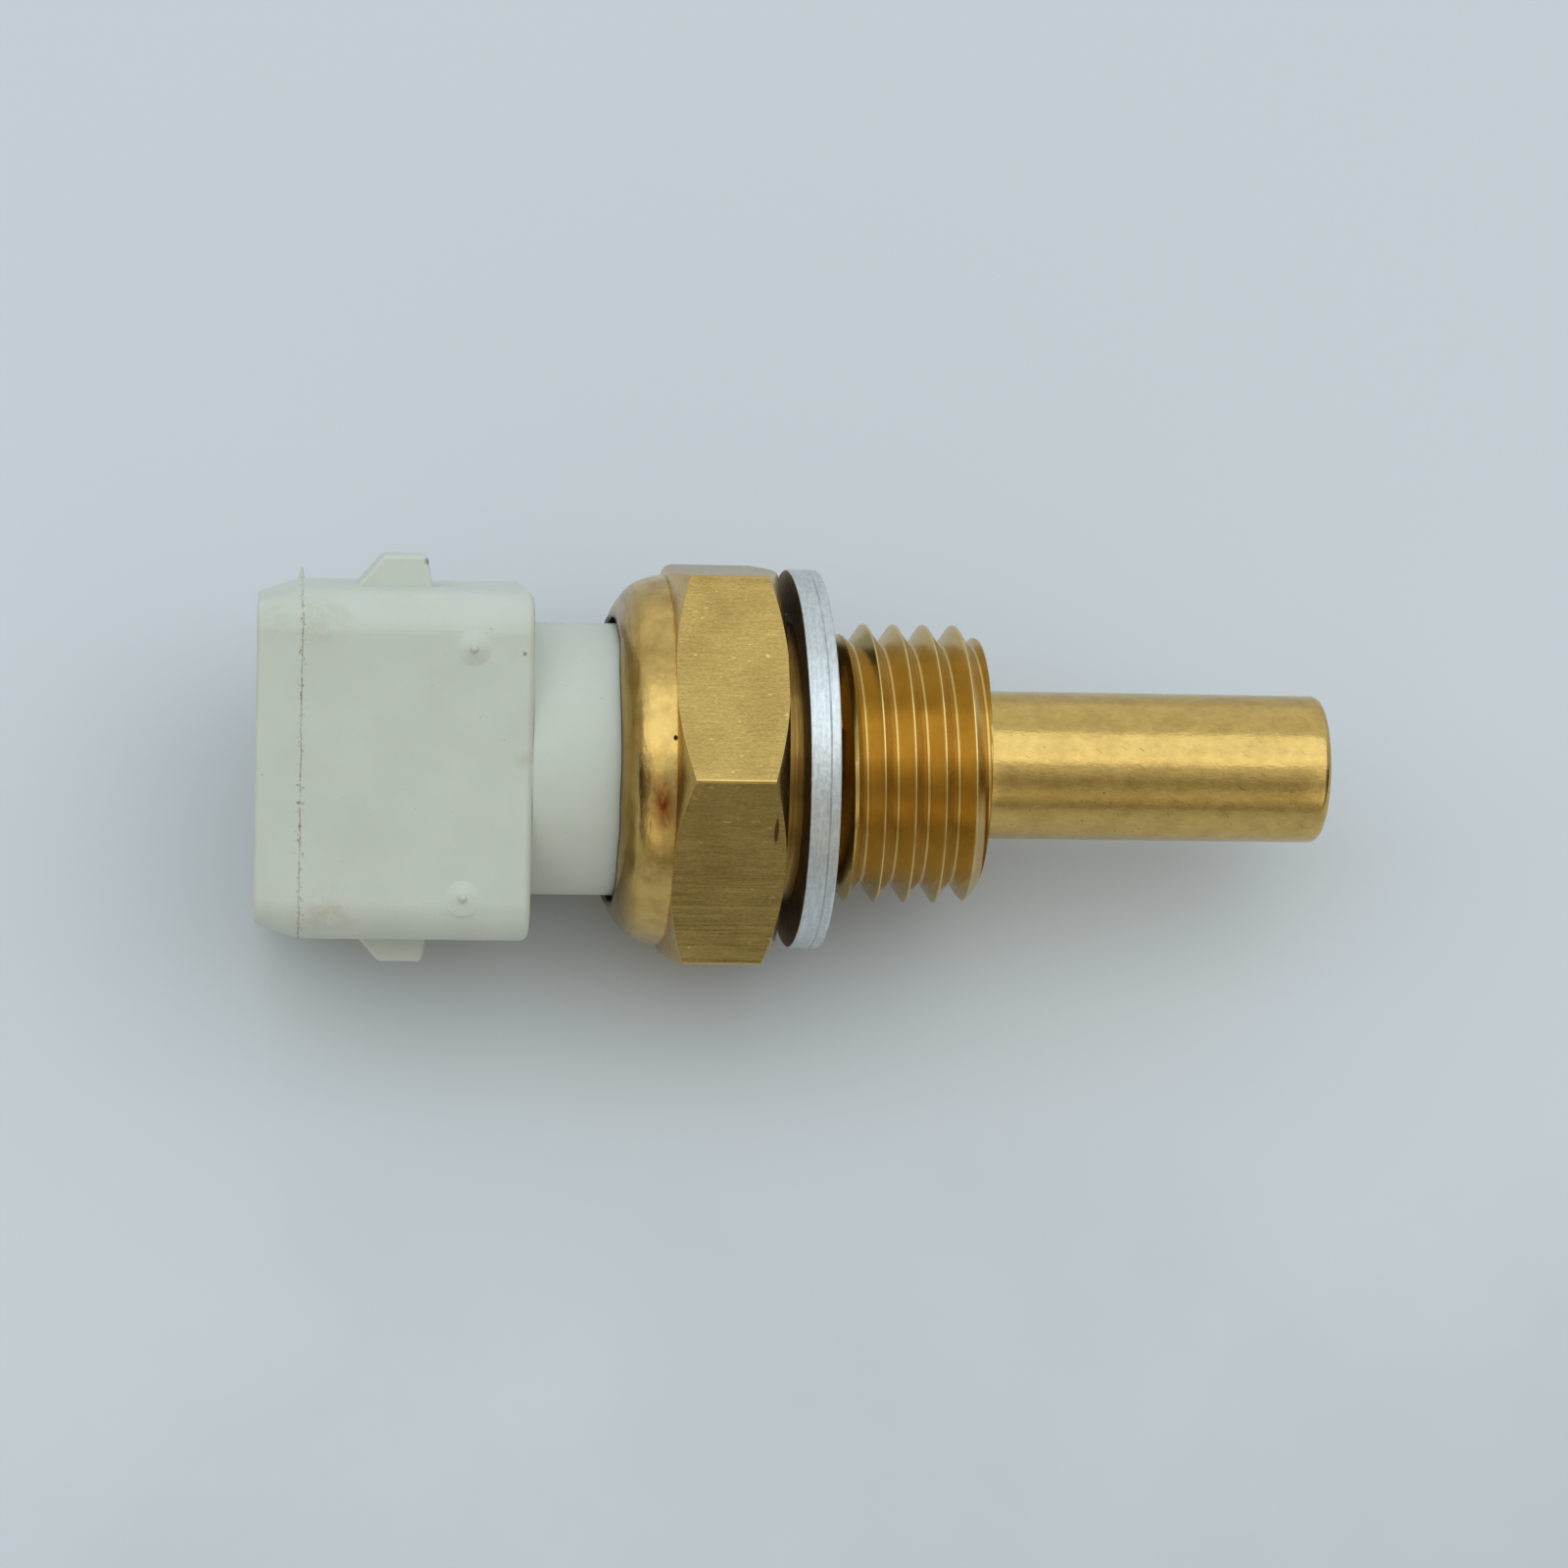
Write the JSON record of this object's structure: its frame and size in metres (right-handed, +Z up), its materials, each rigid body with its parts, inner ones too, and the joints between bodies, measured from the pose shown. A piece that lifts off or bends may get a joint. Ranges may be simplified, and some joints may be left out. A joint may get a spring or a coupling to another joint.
{
  "type": "water temperature sensor",
  "caption": "Screw-in water temperature sensor: brass hexagon body with threaded shank and closed probe, sealing washer, and a white plastic plug socket held in the rolled collar.",
  "frame": {"origin": "on the sensor's axis, in the plane where the sealing washer meets the engine", "axes": "+X along the sensor from the plug socket to the probe tip, +Z up, with one flat of the hexagon facing down"},
  "size_m": [0.0533, 0.022, 0.019],
  "materials": {
    "brass": "turned, with milled hexagon flats",
    "washer_aluminium": "soft annealed, satin",
    "white_plastic": "moulded glass-filled nylon, satin",
    "seal_rubber": "moulded",
    "tinned_brass": "tin plated",
    "tinned_wire": "tinned",
    "sleeve_plastic": "extruded",
    "liner_film": "wound film",
    "heat_filling": "cured paste",
    "bead_coating": "dipped epoxy"
  },
  "bodies": {
    "root": {"brass_body": "brass", "sealing_washer": "washer_aluminium", "connector_housing": "white_plastic", "seal_ring": "seal_rubber", "terminal_blade_left": "tinned_brass", "terminal_blade_right": "tinned_brass", "lead_wire_left": "tinned_wire", "lead_wire_right": "tinned_wire", "lead_sleeve_left": "sleeve_plastic", "lead_sleeve_right": "sleeve_plastic", "bore_liner": "liner_film", "heat_paste": "heat_filling", "thermistor_bead": "bead_coating"}
  },
  "joints": []
}
